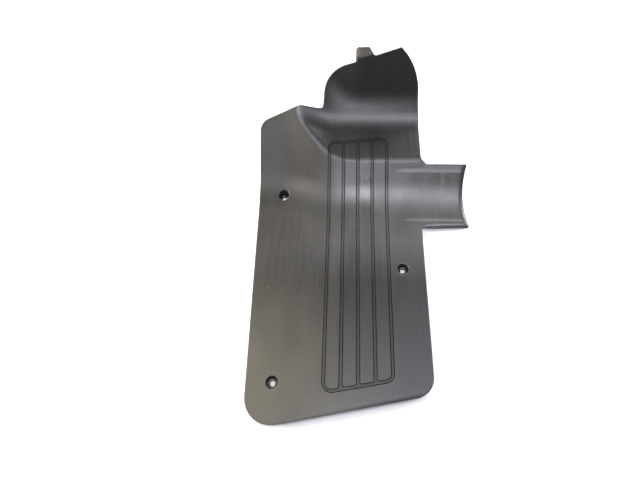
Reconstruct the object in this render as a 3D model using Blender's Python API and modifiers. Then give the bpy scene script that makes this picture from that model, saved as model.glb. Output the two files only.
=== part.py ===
"""Moulded footwell kick panel with a strip-lined heel tread, three screw cups, a flange and a side wing.

The panel is designed as a flat blank in pattern coordinates (x across, s along) and then formed:
every point of the blank is carried onto a bent sheet. Metres, +Z up, resting on the screw bosses.
"""
import math

import bmesh
import bpy
from mathutils import Matrix, Vector

MM = 0.001
CLEARANCE = 0.3 * MM          # gap between pieces that touch

# Sheet
SHEET_THICKNESS = 3.0 * MM
FORMING_STEP = 0.4 * MM       # distance used to find the sheet's slope

# Outline of the lower plate, in pattern coordinates
LEFT_X = -131.7 * MM          # left edge at s = 0
LEFT_TAPER = 0.035            # the left edge leans out by this much per unit of s
RIGHT_X = 81.8 * MM
BOTTOM_LEFT_S = -280.8 * MM
BOTTOM_SLOPE = 0.207          # the bottom edge rises to the right
BOTTOM_LEFT_RADIUS = 30.0 * MM
BOTTOM_RIGHT_RADIUS = 24.0 * MM

# Side bends along the pattern: start, length, angle turned
FOOT_BEND = (-30.0 * MM, 60.0 * MM, math.radians(28.0))
CREST_BEND = (52.0 * MM, 12.0 * MM, math.radians(-23.0))
COVE_BEND = (100.0 * MM, 31.0 * MM, math.radians(29.0))
UPPER_COVE_BEND = (131.0 * MM, 31.0 * MM, math.radians(29.0))
FLANGE_BEND = (162.0 * MM, 32.0 * MM, math.radians(3.0))
COVE_OPENING = 34.0 * MM      # extra length of the upper cove at the flange's left side
COVE_OPENS_FROM = 5.0 * MM
COVE_OPENS_TO = -47.0 * MM

# Shoulder: the foot slope carried on past the scoop's left side
SHOULDER_DELAY = 18.0 * MM    # how much later the foot bend starts at the far left
SHOULDER_DELAY_FROM = -20.0 * MM
SHOULDER_DELAY_TO = -110.0 * MM
SHOULDER_END_Y = 123.0 * MM   # past here only the flange exists
SHOULDER_END_RISE = 3.0
SCOOP_SIDE_SLOPE = 0.40
SCOOP_SIDE_KNEE = -39.0 * MM
SCOOP_SIDE_SOFTNESS = 10.0 * MM
CREASE_BLEND = 4.0 * MM       # height range over which shoulder and scoop merge
CREASE_BLEND_FROM = -15.0 * MM
CREASE_BLEND_TO = -50.0 * MM

# Wing
WING_LOWER_S = -35.8 * MM
WING_UPPER_S = 54.5 * MM
WING_LOWER_RISE = 2.3 * MM     # the lower edge climbs by this much towards the end
WING_END_X = 143.2 * MM
WING_END_HOLLOW = 6.3 * MM
WING_DROOP = 1.0 * MM
WING_LIP_WIDTH = 6.0 * MM
WING_LIP_DROP = 3.0 * MM
WING_LIP_FADE = 10.0 * MM     # the lip grows over this distance from the plate's edge
BAND_LIFT = 0.8 * MM          # raised band between the tread and the wing
BAND_INSET = 8.0 * MM
BAND_START_X = 42.0 * MM
BAND_EDGE = 2.0 * MM
BAND_FADE = 30.0 * MM         # the band rises over this distance towards the wing

# Bottom edge roll
EDGE_ROLL_WIDTH = 5.0 * MM
EDGE_ROLL_DROP = 0.8 * MM

# Flange
FLANGE_APEX = (53.5 * MM, 213.3 * MM)
FLANGE_TOP_SLOPE = 0.30
FLANGE_RIGHT_X = 78.8 * MM
FLANGE_RIGHT_RADIUS = 84.0 * MM
FLANGE_LEFT_X = -47.0 * MM
FLANGE_LEFT_RADIUS = 44.0 * MM
FLANGE_FOOT_S = 132.5 * MM

# Top of the shoulder
SHOULDER_PEAK = (-78.0 * MM, 130.2 * MM)
SHOULDER_TURN = (-104.6 * MM, 120.0 * MM)
SHOULDER_LEFT = (-133.2 * MM, 108.5 * MM)
SHOULDER_LEFT_RADIUS = 17.0 * MM

# Tongue
TONGUE_LEFT_X = -5.0 * MM
TONGUE_RIGHT_X = 13.5 * MM
TONGUE_TOP_S = 215.0 * MM
TONGUE_FLARE = 6.5 * MM        # the right side spreads by this much at its root
TONGUE_BEND_LENGTH = 6.0 * MM
TONGUE_BEND_ANGLE = math.radians(-38.0)

# Tread
TREAD_LEFT_X = -40.0 * MM
TREAD_BOTTOM_S = -242.1 * MM  # at the left edge of the tread
TREAD_BOTTOM_SLOPE = 0.195
TREAD_TOP_S = 85.0 * MM       # at the left edge of the tread
TREAD_TOP_SLOPE = 0.097
TREAD_CORNER_RADIUS = 11.0 * MM
STRIP_COUNT = 4
STRIP_WIDTH = 15.2 * MM
BAR_WIDTH = 3.8 * MM
TREAD_DEPTH = 1.6 * MM
STRIP_GAP = 0.5 * MM          # dark line left round each strip in its pocket
FRAME_GROOVE_WIDTH = 0.6 * MM
FRAME_GROOVE_DEPTH = 0.9 * MM
STRIP_CORNER_RADIUS = 2.5 * MM
OUTER_STRIP_RADIUS = 6.5 * MM  # the corners that lie inside the frame's own corners
TREAD_WIDTH = STRIP_COUNT * STRIP_WIDTH + (STRIP_COUNT + 1) * BAR_WIDTH

# Screw cups
CUP_PLACES = {
    "upper_left": (-98.7 * MM, 12.3 * MM),
    "right": (54.9 * MM, -93.1 * MM),
    "lower_left": (-94.0 * MM, -230.7 * MM),
}
CUP_DIAMETER = 14.0 * MM
CUP_DEPTH = 8.0 * MM
BOSS_DIAMETER = 22.0 * MM
BOSS_FLOOR = 2.5 * MM
BOSS_HEIGHT = CUP_DEPTH + BOSS_FLOOR
FERRULE_BORE = 6.6 * MM       # clearance for an M6 screw
FERRULE_SLEEVE = 9.0 * MM
FERRULE_HEAD = 13.0 * MM
FERRULE_HEAD_HEIGHT = 1.4 * MM
ROUND_SEGMENTS = 40

# Forming grid: the blank is divided along these lines before it is bent
GRID_STEP_FINE = 5.0 * MM
GRID_STEP_FOOT = 6.5 * MM
GRID_STEP_COARSE = 9.0 * MM
SMOOTH_ANGLE = math.radians(32.0)


def clamp(value, low, high):
    return max(low, min(high, value))


def smooth_step(value, start, end):
    """0 before start, 1 past end, and a smooth climb between them."""
    t = clamp((value - start) / (end - start), 0.0, 1.0)
    return t * t * (3.0 - 2.0 * t)


def smooth_min(a, b, blend):
    """The lower of two heights, rounded where they cross."""
    if blend <= 0.0:
        return min(a, b)
    overlap = max(blend - abs(a - b), 0.0) / blend
    return min(a, b) - overlap * overlap * blend / 4.0


# ---------------------------------------------------------------- the bent sheet

def bent_profile(s, bends):
    """Distance along y and height z at pattern distance s, for flat runs joined by round bends."""
    at = min(s, bends[0][0])
    y = at
    z = 0.0
    angle = 0.0
    for start, length, turn in bends:
        straight = max(0.0, min(s, start) - at)
        y += straight * math.cos(angle)
        z += straight * math.sin(angle)
        at += straight
        bent = clamp(s - start, 0.0, length)
        radius = length / turn
        turned = angle + bent / radius
        y += radius * (math.sin(turned) - math.sin(angle))
        z += radius * (math.cos(angle) - math.cos(turned))
        angle = turned
        at += bent
    rest = max(0.0, s - at)
    return y + rest * math.cos(angle), z + rest * math.sin(angle)


def bends_at(x, s):
    """The bends met along the pattern at x. The cove opens out to the left, and the tongue bends back."""
    start, length, turn = UPPER_COVE_BEND
    opening = COVE_OPENING * smooth_step(-x, -COVE_OPENS_FROM, -COVE_OPENS_TO)
    flange_start, flange_length, flange_turn = FLANGE_BEND
    bends = (
        FOOT_BEND, CREST_BEND, COVE_BEND,
        (start, length + opening, turn),
        (flange_start + opening, flange_length, flange_turn),
    )
    if TONGUE_LEFT_X - TONGUE_FLARE < x < TONGUE_RIGHT_X + TONGUE_FLARE and s > flange_top_s(x):
        settled = tuple(bend for bend in bends if bend[0] + bend[1] <= flange_top_s(x))
        bends = settled + ((flange_top_s(x), TONGUE_BEND_LENGTH, TONGUE_BEND_ANGLE),)
    return bends


def shoulder_height(x, y):
    """Height of the shoulder: the foot bend, then its slope carried straight on."""
    start, length, turn = FOOT_BEND
    delay = SHOULDER_DELAY * smooth_step(-x, -SHOULDER_DELAY_FROM, -SHOULDER_DELAY_TO)
    radius = length / turn
    run = y - delay - start
    bent = clamp(run, 0.0, radius * math.sin(turn))
    height = radius - math.sqrt(radius * radius - bent * bent)
    height += max(0.0, run - bent) * math.tan(turn)
    return height + max(0.0, y - SHOULDER_END_Y) * SHOULDER_END_RISE


def scoop_side_height(x):
    """How far the scoop's floor climbs towards the shoulder."""
    reach = (SCOOP_SIDE_KNEE - x) / SCOOP_SIDE_SOFTNESS
    return SCOOP_SIDE_SLOPE * SCOOP_SIDE_SOFTNESS * math.log(1.0 + math.exp(reach))


def flange_top_s(x):
    """The straight top edge of the flange, which is also the line the tongue bends along."""
    return FLANGE_APEX[1] + (x - FLANGE_APEX[0]) * FLANGE_TOP_SLOPE


def bottom_edge_s(x):
    return BOTTOM_LEFT_S + (x - left_edge_x(BOTTOM_LEFT_S)) * BOTTOM_SLOPE


def left_edge_x(s):
    return LEFT_X - s * LEFT_TAPER


def lip(distance, width, drop):
    """Drop of a rolled edge at a distance in from the edge."""
    inside = clamp(1.0 - distance / width, 0.0, 1.0)
    return drop * inside * inside


def relief(x, s):
    """Small height changes of the sheet: the raised band, the wing's droop and the rolled edges."""
    on_band = smooth_step(s, WING_LOWER_S + BAND_INSET, WING_LOWER_S + BAND_INSET + BAND_EDGE)
    on_band *= smooth_step(-s, -WING_UPPER_S + BAND_INSET, -WING_UPPER_S + BAND_INSET + BAND_EDGE)
    height = BAND_LIFT * on_band * smooth_step(x, BAND_START_X, BAND_START_X + BAND_FADE)
    height -= lip(s - bottom_edge_s(x), EDGE_ROLL_WIDTH, EDGE_ROLL_DROP)
    if x > RIGHT_X and s < WING_UPPER_S + WING_LIP_WIDTH:
        out = (x - RIGHT_X) / (WING_END_X - RIGHT_X)
        edge = min(s - WING_LOWER_S - WING_LOWER_RISE * out, WING_UPPER_S - s, wing_end_x(s) - x)
        height -= WING_DROOP * out * out
        height -= lip(edge, WING_LIP_WIDTH, WING_LIP_DROP) * smooth_step(x, RIGHT_X, RIGHT_X + WING_LIP_FADE)
    return height


def sheet_point(x, s):
    """The top face of the formed sheet at pattern point x, s."""
    y, z = bent_profile(s, bends_at(x, s))
    blend = CREASE_BLEND * smooth_step(-x, -CREASE_BLEND_FROM, -CREASE_BLEND_TO)
    z = smooth_min(shoulder_height(x, y), z + scoop_side_height(x), blend)
    return Vector((x, y, z + relief(x, s)))


def formed(point):
    """Carries a point of the flat blank (x, s, depth) onto the formed sheet."""
    x, s, depth = point
    across = sheet_point(x + FORMING_STEP, s) - sheet_point(x - FORMING_STEP, s)
    along = sheet_point(x, s + FORMING_STEP) - sheet_point(x, s - FORMING_STEP)
    return sheet_point(x, s) + across.cross(along).normalized() * depth


# ---------------------------------------------------------------- outlines

def wing_end_x(s):
    """The hollow end of the wing, an arc in the pattern."""
    middle = (WING_LOWER_S + WING_UPPER_S) / 2.0
    half = (WING_UPPER_S - WING_LOWER_S) / 2.0
    reach = clamp((s - middle) / half, -1.0, 1.0)
    return WING_END_X - WING_END_HOLLOW * (1.0 - reach * reach)


def rounded_outline(corners, steps):
    """A closed outline from corners (x, s, radius), each rounded by an arc of its own radius."""
    points = []
    for index, (x, s, radius) in enumerate(corners):
        corner = Vector((x, s))
        before = (Vector(corners[index - 1][:2]) - corner).normalized()
        after = (Vector(corners[(index + 1) % len(corners)][:2]) - corner).normalized()
        half = math.acos(clamp(before.dot(after), -1.0, 1.0)) / 2.0
        if radius == 0.0:
            points.append(corner)
            continue
        centre = corner + (before + after).normalized() * (radius / math.sin(half))
        start = corner + before * (radius / math.tan(half)) - centre
        sweep = (math.pi - 2.0 * half) * (1.0 if before.cross(after) < 0.0 else -1.0)
        count = max(2, round(steps * abs(sweep) / (math.pi / 2.0)))
        for step in range(count + 1):
            turn = Matrix.Rotation(sweep * step / count, 2)
            points.append(centre + turn @ start)
    return points


def panel_outline():
    """The blank's outer edge, anticlockwise from the bottom left corner."""
    corners = [
        (left_edge_x(BOTTOM_LEFT_S), BOTTOM_LEFT_S, BOTTOM_LEFT_RADIUS),
        (RIGHT_X, bottom_edge_s(RIGHT_X), BOTTOM_RIGHT_RADIUS),
        (RIGHT_X, WING_LOWER_S, 3.0 * MM),
        (WING_END_X, WING_LOWER_S + WING_LOWER_RISE, 3.0 * MM),
    ]
    for share in (0.2, 0.35, 0.5, 0.65, 0.8):
        s = WING_LOWER_S + (WING_UPPER_S - WING_LOWER_S) * share
        corners.append((wing_end_x(s), s, 0.0))
    tongue_root_x = TONGUE_RIGHT_X + TONGUE_FLARE
    corners += [
        (WING_END_X, WING_UPPER_S, 3.0 * MM),
        (RIGHT_X + 0.8 * MM, WING_UPPER_S + 0.5 * MM, 9.0 * MM),
        (RIGHT_X, COVE_BEND[0] + 25.0 * MM, 0.0),
        (FLANGE_RIGHT_X, 187.0 * MM, FLANGE_RIGHT_RADIUS),
        (FLANGE_APEX[0], FLANGE_APEX[1], 1.5 * MM),
        (tongue_root_x, flange_top_s(tongue_root_x), 2.5 * MM),
        (TONGUE_RIGHT_X, TONGUE_TOP_S, 3.0 * MM),
        (TONGUE_LEFT_X, TONGUE_TOP_S, 4.0 * MM),
        (TONGUE_LEFT_X, flange_top_s(TONGUE_LEFT_X), 1.5 * MM),
        (FLANGE_LEFT_X + 1.5 * MM, flange_top_s(FLANGE_LEFT_X), FLANGE_LEFT_RADIUS),
        (FLANGE_LEFT_X, FLANGE_FOOT_S + 16.0 * MM, 0.0),
        (FLANGE_LEFT_X - 1.5 * MM, FLANGE_FOOT_S, 5.0 * MM),
        (SHOULDER_PEAK[0], SHOULDER_PEAK[1], 2.0 * MM),
        (SHOULDER_TURN[0], SHOULDER_TURN[1], 60.0 * MM),
        (SHOULDER_LEFT[0], SHOULDER_LEFT[1], SHOULDER_LEFT_RADIUS),
        (LEFT_X, 0.0, 0.0),
    ]
    return rounded_outline(corners, 6)


def strip_left(number):
    return TREAD_LEFT_X + BAR_WIDTH + number * (STRIP_WIDTH + BAR_WIDTH)


def strip_radii(number, margin):
    """Corner radii of a strip's outline, grown by a margin, from the bottom left round."""
    left = OUTER_STRIP_RADIUS if number == 0 else STRIP_CORNER_RADIUS
    right = OUTER_STRIP_RADIUS if number == STRIP_COUNT - 1 else STRIP_CORNER_RADIUS
    return [radius + margin for radius in (left, right, right, left)]


def tread_outline(left, right, inset, radii):
    """A rounded four-sided outline inside the tread, between two x values."""
    def bottom(x):
        return TREAD_BOTTOM_S + (x - TREAD_LEFT_X) * TREAD_BOTTOM_SLOPE + inset

    def top(x):
        return TREAD_TOP_S + (x - TREAD_LEFT_X) * TREAD_TOP_SLOPE - inset

    corners = [
        (left, bottom(left), radii[0]),
        (right, bottom(right), radii[1]),
        (right, top(right), radii[2]),
        (left, top(left), radii[3]),
    ]
    return rounded_outline(corners, 4)


# ---------------------------------------------------------------- blanks and forming

def blank(name, outline, bottom, top):
    """A flat slab with the given outline, between two depths of the blank."""
    mesh = bpy.data.meshes.new(name)
    form = bmesh.new()
    ring = [form.verts.new((x, s, bottom)) for x, s in outline]
    face = form.faces.new(ring)
    raised = bmesh.ops.extrude_face_region(form, geom=[face])["geom"]
    risen = [item for item in raised if isinstance(item, bmesh.types.BMVert)]
    bmesh.ops.translate(form, verts=risen, vec=(0.0, 0.0, top - bottom))
    bmesh.ops.recalc_face_normals(form, faces=form.faces)
    form.to_mesh(mesh)
    form.free()
    return bpy.data.objects.new(name, mesh)


def steps_between(start, end, step):
    count = max(1, round((end - start) / step))
    return [start + (end - start) * index / count for index in range(count + 1)]


def grid_lines_s():
    """Pattern distances where the blank is divided before bending."""
    lines = steps_between(FOOT_BEND[0], FOOT_BEND[0] + FOOT_BEND[1] + SHOULDER_DELAY, GRID_STEP_FOOT)
    lines += steps_between(CREST_BEND[0], CREST_BEND[0] + CREST_BEND[1], 3.0 * MM)
    lines += steps_between(71.0 * MM, COVE_BEND[0], GRID_STEP_FINE + 2.0 * MM)
    lines += steps_between(COVE_BEND[0] + GRID_STEP_FINE, FLANGE_BEND[0], GRID_STEP_FINE)
    lines += steps_between(174.0 * MM, 194.0 * MM, 10.0 * MM)
    for edge, inward in ((WING_LOWER_S, 1.0), (WING_UPPER_S, -1.0)):
        for share in (1.0 / 3.0, 2.0 / 3.0, 1.0):
            lines.append(edge + inward * WING_LIP_WIDTH * share)
        lines += [edge + inward * BAND_INSET, edge + inward * (BAND_INSET + BAND_EDGE)]
    return sorted(set(lines))


def grid_lines_x():
    lines = steps_between(-121.0 * MM, -13.0 * MM, GRID_STEP_COARSE)
    lines += steps_between(BAND_START_X, BAND_START_X + BAND_FADE, BAND_FADE / 3.0)
    lines.append(RIGHT_X)
    lines += steps_between(RIGHT_X + WING_LIP_FADE / 2.0, WING_END_X - WING_LIP_WIDTH, GRID_STEP_COARSE)
    lines += [WING_END_X - 4.0 * MM, WING_END_X - 2.0 * MM]
    return lines


def divide(form, point, normal):
    everything = form.verts[:] + form.edges[:] + form.faces[:]
    bmesh.ops.bisect_plane(form, geom=everything, plane_co=point, plane_no=normal, dist=1e-6)


def form_over_sheet(item):
    """Divides a flat blank along the forming grid and bends it onto the sheet."""
    form = bmesh.new()
    form.from_mesh(item.data)
    for s in grid_lines_s():
        divide(form, (0.0, s, 0.0), (0.0, 1.0, 0.0))
    for x in grid_lines_x():
        divide(form, (x, 0.0, 0.0), (1.0, 0.0, 0.0))
    for share in (1.0 / 3.0, 2.0 / 3.0, 1.0):
        roll_s = bottom_edge_s(0.0) + EDGE_ROLL_WIDTH * share
        divide(form, (0.0, roll_s, 0.0), (-BOTTOM_SLOPE, 1.0, 0.0))
    for share in (0.0, 0.5, 1.0):
        tongue_line = Vector((-FLANGE_TOP_SLOPE, 1.0, 0.0))
        bend_s = flange_top_s(0.0) + TONGUE_BEND_LENGTH * share
        nearby = [face for face in form.faces if face.calc_center_median().y > flange_top_s(0.0) - 8.0 * MM]
        edges = {edge for face in nearby for edge in face.edges}
        verts = {vert for face in nearby for vert in face.verts}
        region = list(verts) + list(edges) + nearby
        bmesh.ops.bisect_plane(form, geom=region, plane_co=(0.0, bend_s, 0.0), plane_no=tongue_line, dist=1e-6)
    for vert in form.verts:
        vert.co = formed(vert.co)
    bmesh.ops.triangulate(form, faces=form.faces)
    form.to_mesh(item.data)
    form.free()


def flat_cut(item, cutter):
    """Cuts one flat blank by another and keeps the result as the item's mesh."""
    cut = item.modifiers.new("cut", "BOOLEAN")
    cut.operation = "DIFFERENCE"
    cut.solver = "EXACT"
    cut.object = cutter
    graph = bpy.context.evaluated_depsgraph_get()
    result = bpy.data.meshes.new_from_object(item.evaluated_get(graph))
    item.modifiers.remove(cut)
    item.data = result


# ---------------------------------------------------------------- round pieces

def cylinder(name, place, diameter, bottom, top):
    """An upright cylinder between two heights."""
    mesh = bpy.data.meshes.new(name)
    form = bmesh.new()
    bmesh.ops.create_cone(
        form, cap_ends=True, segments=ROUND_SEGMENTS,
        radius1=diameter / 2.0, radius2=diameter / 2.0, depth=top - bottom)
    bmesh.ops.translate(form, verts=form.verts, vec=(place[0], place[1], (bottom + top) / 2.0))
    form.to_mesh(mesh)
    form.free()
    return bpy.data.objects.new(name, mesh)


def boss(name, place):
    """A boss under the sheet, whose upper rim follows the middle of the sheet's thickness."""
    item = cylinder(name, place, BOSS_DIAMETER, -BOSS_HEIGHT, 0.0)
    for vert in item.data.vertices:
        if vert.co.z > -BOSS_HEIGHT / 2.0:
            vert.co.z = sheet_point(vert.co.x, vert.co.y).z - SHEET_THICKNESS / 2.0
    return item


def boolean(item, operation, other):
    step = item.modifiers.new(other.name, "BOOLEAN")
    step.operation = operation
    step.solver = "EXACT"
    step.object = other


def ferrule(name, place):
    """A shouldered sleeve at the bottom of a cup, turned from a profile with a Screw."""
    bore = FERRULE_BORE / 2.0
    sleeve = FERRULE_SLEEVE / 2.0 - CLEARANCE
    head = FERRULE_HEAD / 2.0
    seat = -CUP_DEPTH + CLEARANCE
    chamfer = 0.3 * MM
    profile = [
        (bore, seat + FERRULE_HEAD_HEIGHT),
        (head - chamfer, seat + FERRULE_HEAD_HEIGHT),
        (head, seat + FERRULE_HEAD_HEIGHT - chamfer),
        (head, seat),
        (sleeve, seat),
        (sleeve, -BOSS_HEIGHT + CLEARANCE),
        (bore, -BOSS_HEIGHT + CLEARANCE),
    ]
    mesh = bpy.data.meshes.new(name)
    form = bmesh.new()
    verts = [form.verts.new((radius, 0.0, height)) for radius, height in profile]
    for index, vert in enumerate(verts):
        form.edges.new((vert, verts[(index + 1) % len(verts)]))
    form.to_mesh(mesh)
    form.free()
    item = bpy.data.objects.new(name, mesh)
    item.location = (place[0], place[1], 0.0)
    turn = item.modifiers.new("turn", "SCREW")
    turn.steps = ROUND_SEGMENTS
    turn.render_steps = ROUND_SEGMENTS
    turn.use_merge_vertices = True
    turn.merge_threshold = 0.00001
    return item


# ---------------------------------------------------------------- materials and assembly

def plastic(name, colour, roughness):
    material = bpy.data.materials.new(name)
    material.use_nodes = True
    shader = material.node_tree.nodes["Principled BSDF"]
    shader.inputs["Base Color"].default_value = (*colour, 1.0)
    shader.inputs["Roughness"].default_value = roughness
    return material


def metal(name, colour, roughness):
    material = plastic(name, colour, roughness)
    material.node_tree.nodes["Principled BSDF"].inputs["Metallic"].default_value = 1.0
    return material


def collection(name):
    group = bpy.data.collections.new(name)
    bpy.context.scene.collection.children.link(group)
    return group


def keep(item, group, material):
    """Puts a finished piece in the parts collection."""
    group.objects.link(item)
    item.data.materials.clear()
    item.data.materials.append(material)
    item.data.shade_smooth()
    item.data.set_sharp_from_angle(angle=SMOOTH_ANGLE)


def keep_tool(item, group):
    group.objects.link(item)
    item.hide_render = True
    item.display_type = "WIRE"


def frame_groove(tools):
    """Cutter for the fine groove that frames the tread."""
    left = TREAD_LEFT_X
    right = TREAD_LEFT_X + TREAD_WIDTH
    width = FRAME_GROOVE_WIDTH
    outer = tread_outline(left, right, 0.0, [TREAD_CORNER_RADIUS] * 4)
    inner = tread_outline(left + width, right - width, width, [TREAD_CORNER_RADIUS - width] * 4)
    groove = blank("frame_groove", outer, -FRAME_GROOVE_DEPTH, SHEET_THICKNESS)
    core = blank("frame_core", inner, -SHEET_THICKNESS, 2.0 * SHEET_THICKNESS)
    keep_tool(groove, tools)
    keep_tool(core, tools)
    flat_cut(groove, core)
    return groove


def strip_pocket(number, tools):
    """Cutter for the pocket that one strip lies in."""
    left = strip_left(number) - STRIP_GAP
    right = left + STRIP_WIDTH + 2.0 * STRIP_GAP
    outline = tread_outline(left, right, BAR_WIDTH - STRIP_GAP, strip_radii(number, STRIP_GAP))
    pocket = blank("strip_pocket_%d" % (number + 1), outline, -TREAD_DEPTH, SHEET_THICKNESS)
    keep_tool(pocket, tools)
    return pocket


def make_panel(parts, tools):
    panel = blank("panel_moulding", panel_outline(), -SHEET_THICKNESS, 0.0)
    keep(panel, parts, plastic("panel_plastic", (0.030, 0.030, 0.029), 0.45))
    flat_cut(panel, frame_groove(tools))
    for number in range(STRIP_COUNT):
        flat_cut(panel, strip_pocket(number, tools))
    form_over_sheet(panel)
    above = 30.0 * MM
    for place_name, place in CUP_PLACES.items():
        column = boss("boss_" + place_name, place)
        cup = cylinder("cup_" + place_name, place, CUP_DIAMETER, -CUP_DEPTH, above)
        bore = cylinder("bore_" + place_name, place, FERRULE_SLEEVE, -2.0 * BOSS_HEIGHT, above)
        for tool, operation in ((column, "UNION"), (cup, "DIFFERENCE"), (bore, "DIFFERENCE")):
            keep_tool(tool, tools)
            boolean(panel, operation, tool)
    return panel


def make_strips(parts):
    strips = []
    material = plastic("strip_plastic", (0.034, 0.033, 0.033), 0.38)
    for number in range(STRIP_COUNT):
        left = strip_left(number)
        outline = tread_outline(left, left + STRIP_WIDTH, BAR_WIDTH, strip_radii(number, 0.0))
        strip = blank("tread_strip_%d" % (number + 1), outline, CLEARANCE - TREAD_DEPTH, 0.0)
        form_over_sheet(strip)
        keep(strip, parts, material)
        strips.append(strip)
    return strips


def make_ferrules(parts):
    ferrules = []
    material = metal("ferrule_steel", (0.10, 0.10, 0.11), 0.35)
    for place_name, place in CUP_PLACES.items():
        item = ferrule("screw_ferrule_" + place_name, place)
        keep(item, parts, material)
        ferrules.append(item)
    return ferrules


def stand_on_floor(pieces, panel, tools, parts):
    """Parents every piece to one empty that puts the box's bottom centre at the world origin."""
    graph = bpy.context.evaluated_depsgraph_get()
    corners = [Vector(corner) for corner in panel.evaluated_get(graph).bound_box]
    low = Vector([min(corner[axis] for corner in corners) for axis in range(3)])
    high = Vector([max(corner[axis] for corner in corners) for axis in range(3)])
    frame = bpy.data.objects.new("panel_frame", None)
    parts.objects.link(frame)
    frame.location = (-(low.x + high.x) / 2.0, -(low.y + high.y) / 2.0, -low.z)
    for piece in pieces + list(tools.objects):
        piece.parent = frame


def main():
    for item in list(bpy.data.objects):
        bpy.data.objects.remove(item)
    parts = collection("footwell_kick_panel")
    tools = collection("cutters")
    panel = make_panel(parts, tools)
    pieces = [panel] + make_strips(parts) + make_ferrules(parts)
    stand_on_floor(pieces, panel, tools, parts)


main()
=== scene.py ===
"""The looks of a moulded footwell kick panel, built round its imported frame.

The moulding and its tread strips are made again with the forming rules of the CAD part and a fine mesh:
rounded rims, filleted cups and bosses, and shallow sinks in the sheet. The dimensions are the CAD part's
own, apart from the raised band's edge, which is softer here. Lengths are in metres.
"""
import math

import bmesh
import bpy
import numpy as np
from mathutils import Matrix, Quaternion, Vector, geometry, kdtree, noise


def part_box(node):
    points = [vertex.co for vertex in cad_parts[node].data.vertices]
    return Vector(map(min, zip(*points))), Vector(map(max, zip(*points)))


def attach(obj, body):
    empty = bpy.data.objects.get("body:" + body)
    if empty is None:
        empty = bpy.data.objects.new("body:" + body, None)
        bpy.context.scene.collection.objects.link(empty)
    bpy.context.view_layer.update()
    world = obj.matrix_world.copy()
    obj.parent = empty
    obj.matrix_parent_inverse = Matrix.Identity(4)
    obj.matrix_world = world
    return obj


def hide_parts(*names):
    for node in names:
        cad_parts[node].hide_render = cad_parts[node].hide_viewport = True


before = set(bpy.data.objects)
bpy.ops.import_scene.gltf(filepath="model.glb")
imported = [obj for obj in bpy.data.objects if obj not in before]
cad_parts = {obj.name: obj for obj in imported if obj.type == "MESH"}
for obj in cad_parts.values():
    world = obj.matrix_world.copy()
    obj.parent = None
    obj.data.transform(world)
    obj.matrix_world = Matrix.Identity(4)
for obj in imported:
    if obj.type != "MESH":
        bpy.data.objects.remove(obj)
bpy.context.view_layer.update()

MM = 0.001
CLEARANCE = 0.3 * MM          # gap between pieces that touch

# Sheet
SHEET_THICKNESS = 3.0 * MM
FORMING_STEP = 0.4 * MM       # distance used to find the sheet's slope
PLACE_STEPS = 6               # rounds of correction that find the pattern's point over a place

# Outline of the lower plate, in pattern coordinates (x across, s along)
LEFT_X = -131.7 * MM          # left edge at s = 0
LEFT_TAPER = 0.035            # the left edge leans out by this much per unit of s
RIGHT_X = 81.8 * MM
BOTTOM_LEFT_S = -280.8 * MM
BOTTOM_SLOPE = 0.207          # the bottom edge rises to the right
BOTTOM_LEFT_RADIUS = 30.0 * MM
BOTTOM_RIGHT_RADIUS = 24.0 * MM

# Side bends along the pattern: start, length, angle turned
FOOT_BEND = (-30.0 * MM, 60.0 * MM, math.radians(28.0))
CREST_BEND = (52.0 * MM, 12.0 * MM, math.radians(-23.0))
COVE_BEND = (100.0 * MM, 31.0 * MM, math.radians(29.0))
UPPER_COVE_BEND = (131.0 * MM, 31.0 * MM, math.radians(29.0))
FLANGE_BEND = (162.0 * MM, 32.0 * MM, math.radians(3.0))
COVE_OPENING = 34.0 * MM      # extra length of the upper cove at the flange's left side
COVE_OPENS_FROM = 5.0 * MM
COVE_OPENS_TO = -47.0 * MM

# Shoulder: the foot slope carried on past the scoop's left side
SHOULDER_DELAY = 18.0 * MM    # how much later the foot bend starts at the far left
SHOULDER_DELAY_FROM = -20.0 * MM
SHOULDER_DELAY_TO = -110.0 * MM
SHOULDER_END_Y = 123.0 * MM   # past here only the flange exists
SHOULDER_END_RISE = 3.0
SCOOP_SIDE_SLOPE = 0.40
SCOOP_SIDE_KNEE = -39.0 * MM
SCOOP_SIDE_SOFTNESS = 10.0 * MM
CREASE_BLEND = 4.0 * MM       # height range over which shoulder and scoop merge
CREASE_BLEND_FROM = -15.0 * MM
CREASE_BLEND_TO = -50.0 * MM

# Wing
WING_LOWER_S = -35.8 * MM
WING_UPPER_S = 54.5 * MM
WING_LOWER_RISE = 2.3 * MM    # the lower edge climbs by this much towards the end
WING_END_X = 143.2 * MM
WING_END_HOLLOW = 6.3 * MM
WING_END_STEPS = 14           # points that divide the hollow end
WING_CORNER_RADIUS = 3.0 * MM
WING_ROOT_SHIFT = (0.8 * MM, 0.5 * MM)      # moves the corner where the wing's upper edge meets the plate
WING_ROOT_RADIUS = 9.0 * MM
WING_DROOP = 1.0 * MM
WING_LIP_WIDTH = 6.0 * MM
WING_LIP_DROP = 3.0 * MM
WING_LIP_FADE = 10.0 * MM     # the lip grows over this distance from the plate's edge
WING_LIP_BLEND = 2.0 * MM     # rounds the lip where two edges meet
BAND_LIFT = 0.8 * MM          # raised band between the tread and the wing
BAND_INSET = 8.0 * MM
BAND_START_X = 42.0 * MM
BAND_EDGE = 7.0 * MM          # width of the band's soft sides
BAND_FADE = 30.0 * MM         # the band rises over this distance towards the wing

# Bottom edge roll
EDGE_ROLL_WIDTH = 5.0 * MM
EDGE_ROLL_DROP = 0.8 * MM

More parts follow.
